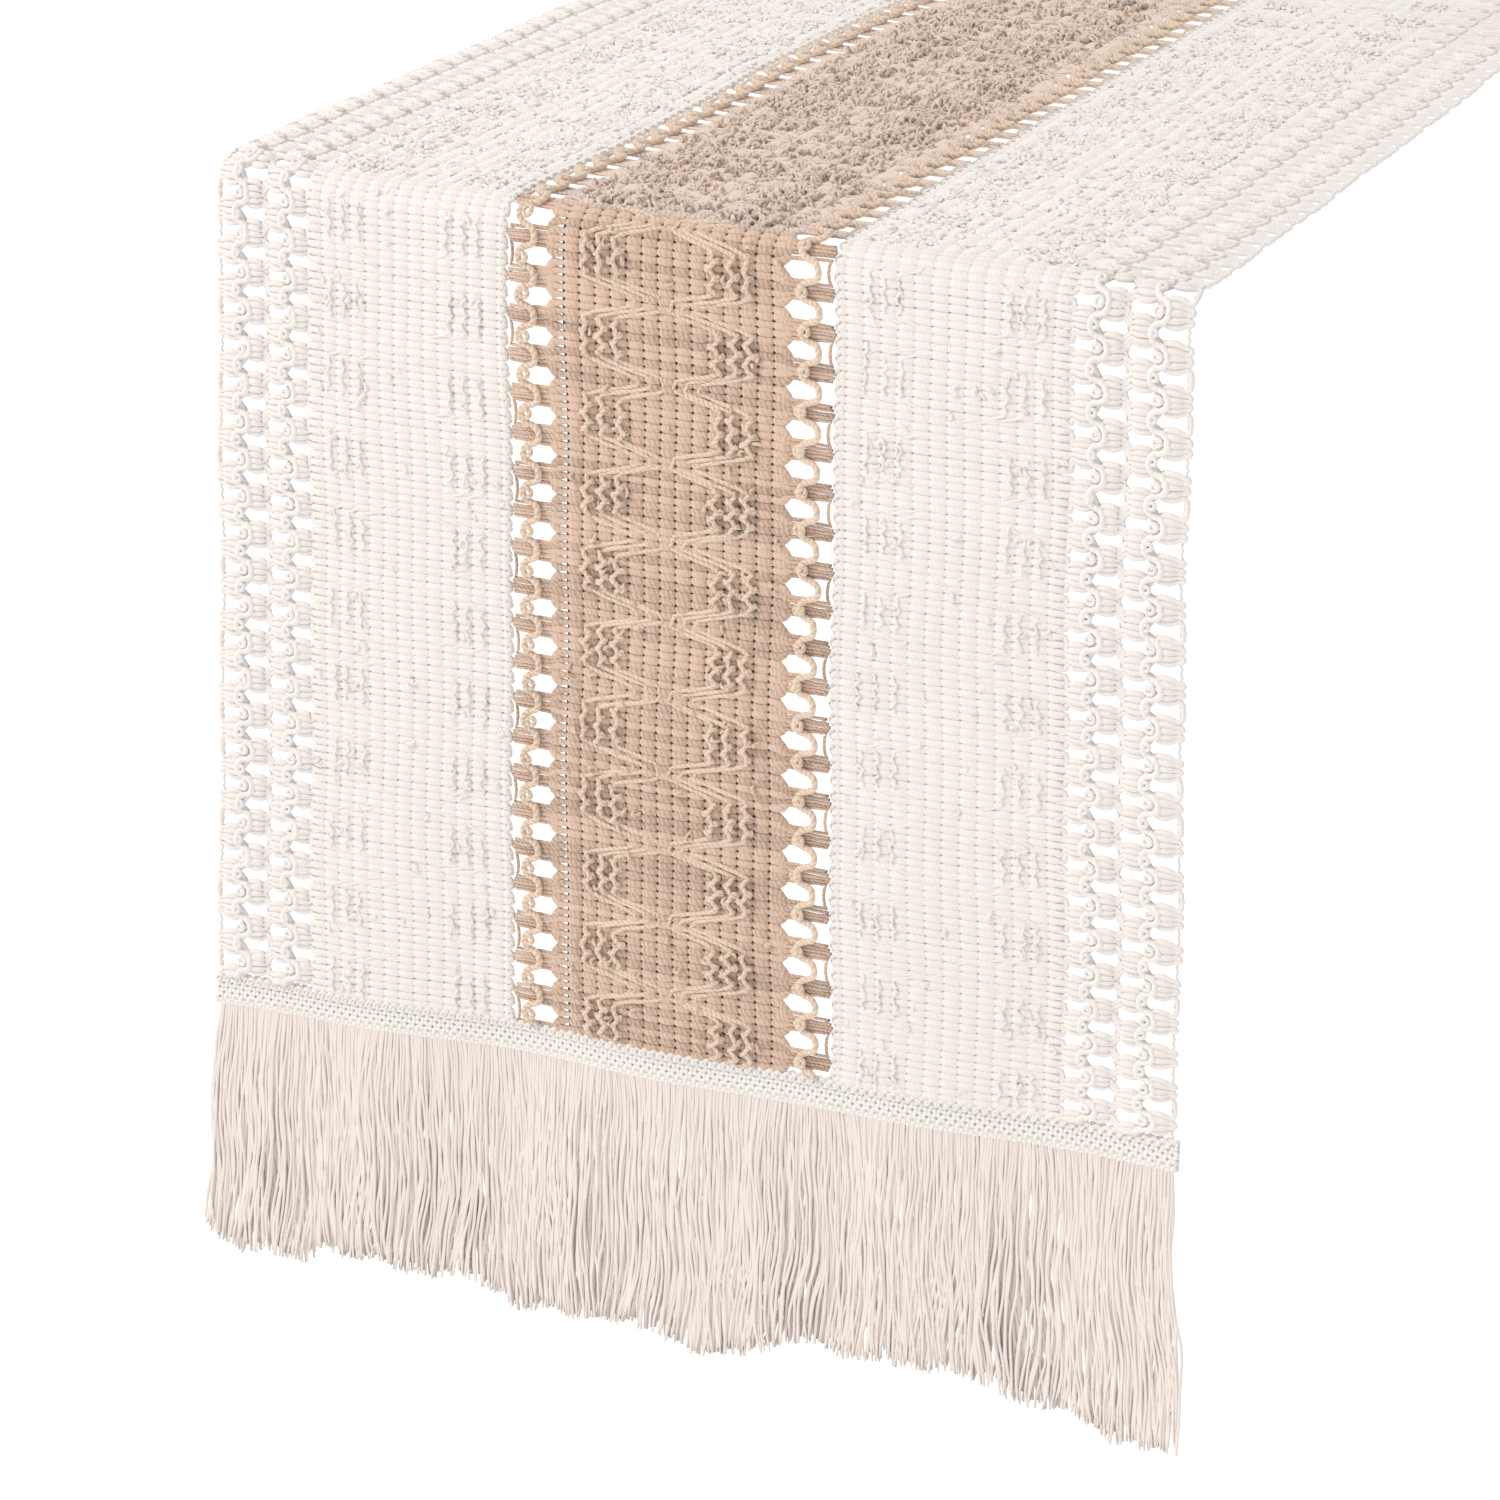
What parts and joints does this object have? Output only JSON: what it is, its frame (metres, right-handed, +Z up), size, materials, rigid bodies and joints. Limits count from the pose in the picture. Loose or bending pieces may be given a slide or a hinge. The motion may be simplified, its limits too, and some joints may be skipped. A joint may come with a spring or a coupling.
{
  "type": "fringed table runner",
  "caption": "Crocheted table runner of three sewn ribbons with ladder openwork edges, braided headers and fringed ends, draped over a table edge.",
  "frame": {"origin": "middle of the runner's underside, where it lies on the table top", "axes": "+X across the runner, +Y along it from the pictured end towards the far end, +Z up out of the table top"},
  "size_m": [0.308, 1.5922, 0.3553],
  "materials": {
    "cream_yarn": "matte crocheted cotton",
    "cream_cord": "matte looped cord",
    "tan_yarn": "matte crocheted cotton",
    "tan_cord": "matte looped cord",
    "seam_thread": "matte thread",
    "header_braid": "matte braided tape",
    "header_thread": "matte thread",
    "fringe_yarn": "matte loose yarn"
  },
  "bodies": {
    "field": {"field_left_cream_ribbon": "cream_yarn", "field_centre_tan_ribbon": "tan_yarn", "field_right_cream_ribbon": "cream_yarn", "field_left_outer_cord": "cream_cord", "field_left_inner_cord": "cream_cord", "field_tan_left_cord": "tan_cord", "field_tan_right_cord": "tan_cord", "field_right_inner_cord": "cream_cord", "field_right_outer_cord": "cream_cord", "field_left_seam_thread": "seam_thread", "field_right_seam_thread": "seam_thread", "front_fold_left_cream_ribbon": "cream_yarn", "front_fold_centre_tan_ribbon": "tan_yarn", "front_fold_right_cream_ribbon": "cream_yarn", "back_fold_left_cream_ribbon": "cream_yarn", "back_fold_centre_tan_ribbon": "tan_yarn", "back_fold_right_cream_ribbon": "cream_yarn"},
    "front_drop": {"front_drop_left_cream_ribbon": "cream_yarn", "front_drop_centre_tan_ribbon": "tan_yarn", "front_drop_right_cream_ribbon": "cream_yarn", "front_drop_left_outer_cord": "cream_cord", "front_drop_left_inner_cord": "cream_cord", "front_drop_tan_left_cord": "tan_cord", "front_drop_tan_right_cord": "tan_cord", "front_drop_right_inner_cord": "cream_cord", "front_drop_right_outer_cord": "cream_cord", "front_drop_left_seam_thread": "seam_thread", "front_drop_right_seam_thread": "seam_thread", "front_header_tape": "header_braid", "front_header_stitching": "header_thread"},
    "back_drop": {"back_drop_left_cream_ribbon": "cream_yarn", "back_drop_centre_tan_ribbon": "tan_yarn", "back_drop_right_cream_ribbon": "cream_yarn", "back_drop_left_outer_cord": "cream_cord", "back_drop_left_inner_cord": "cream_cord", "back_drop_tan_left_cord": "tan_cord", "back_drop_tan_right_cord": "tan_cord", "back_drop_right_inner_cord": "cream_cord", "back_drop_right_outer_cord": "cream_cord", "back_drop_left_seam_thread": "seam_thread", "back_drop_right_seam_thread": "seam_thread", "back_header_tape": "header_braid", "back_header_stitching": "header_thread"},
    "front_fringe": {"front_fringe": "fringe_yarn"},
    "back_fringe": {"back_fringe": "fringe_yarn"}
  },
  "joints": [
    {"name": "front_drop_lift", "type": "hinge", "parent": "field", "child": "front_drop", "pos_m": [0, -0.79188, -0.00072], "axis": [-1, 0, 0], "range_deg": [0, 90]},
    {"name": "back_drop_lift", "type": "hinge", "parent": "field", "child": "back_drop", "pos_m": [0, 0.79188, -0.00072], "axis": [1, 0, 0], "range_deg": [0, 90]},
    {"name": "front_fringe_swing", "type": "hinge", "parent": "front_drop", "child": "front_fringe", "pos_m": [0, -0.7936, -0.265], "axis": [-1, 0, 0], "range_deg": [-35, 35]},
    {"name": "back_fringe_swing", "type": "hinge", "parent": "back_drop", "child": "back_fringe", "pos_m": [0, 0.7936, -0.265], "axis": [1, 0, 0], "range_deg": [-35, 35]}
  ]
}
